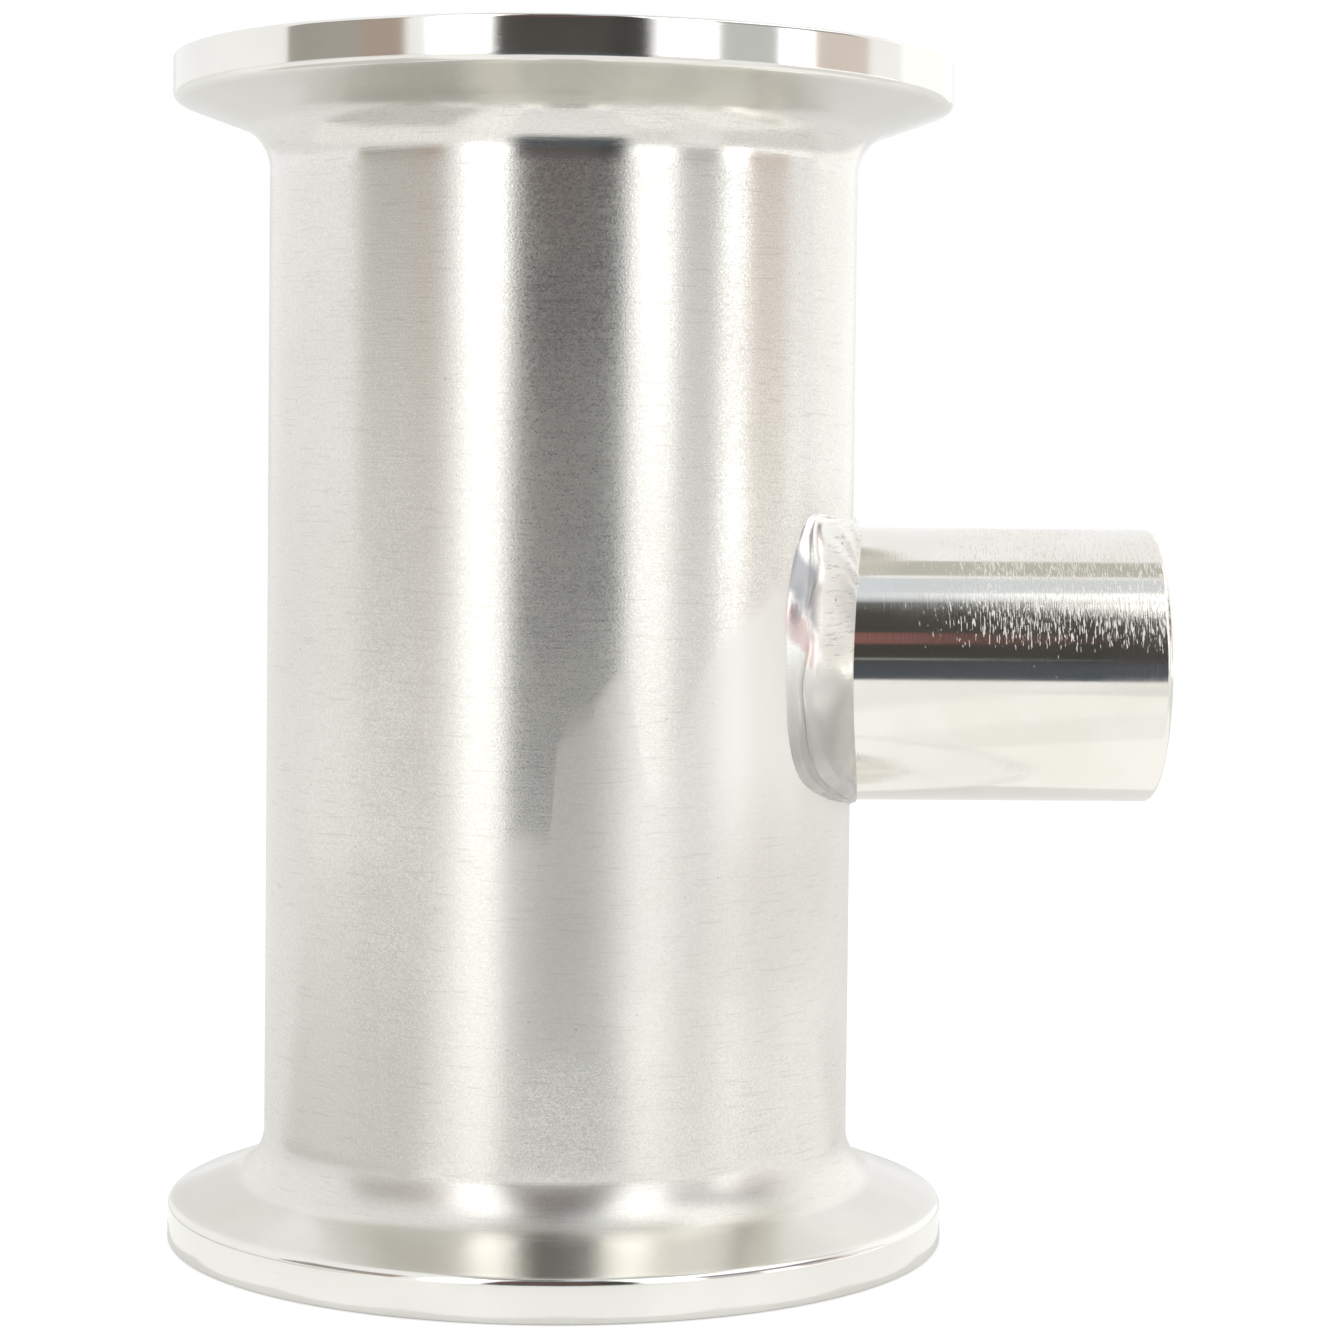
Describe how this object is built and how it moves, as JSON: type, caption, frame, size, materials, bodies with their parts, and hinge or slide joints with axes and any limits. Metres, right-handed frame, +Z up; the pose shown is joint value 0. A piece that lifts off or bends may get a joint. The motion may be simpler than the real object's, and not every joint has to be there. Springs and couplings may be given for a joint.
{
  "type": "clamp-end tube spool with side port",
  "caption": "Short sanitary stainless tube spool with a grooved clamp ferrule at each end and a round internally tapped boss welded square to its side.",
  "frame": {"origin": "on the tube's axis, at the sealing face of the lower ferrule", "axes": "+Z up the tube's axis towards the upper ferrule, +X along the side port's axis towards its open end"},
  "size_m": [0.0641, 0.0506, 0.0762],
  "materials": {
    "brushed_tube": "brushed around",
    "polished_ferrule": "bright turned",
    "polished_port": "polished",
    "ground_weld": "ground satin"
  },
  "bodies": {
    "root": {"tube": "brushed_tube", "upper_ferrule": "polished_ferrule", "lower_ferrule": "polished_ferrule", "side_port": "polished_port", "port_weld": "ground_weld"}
  },
  "joints": []
}
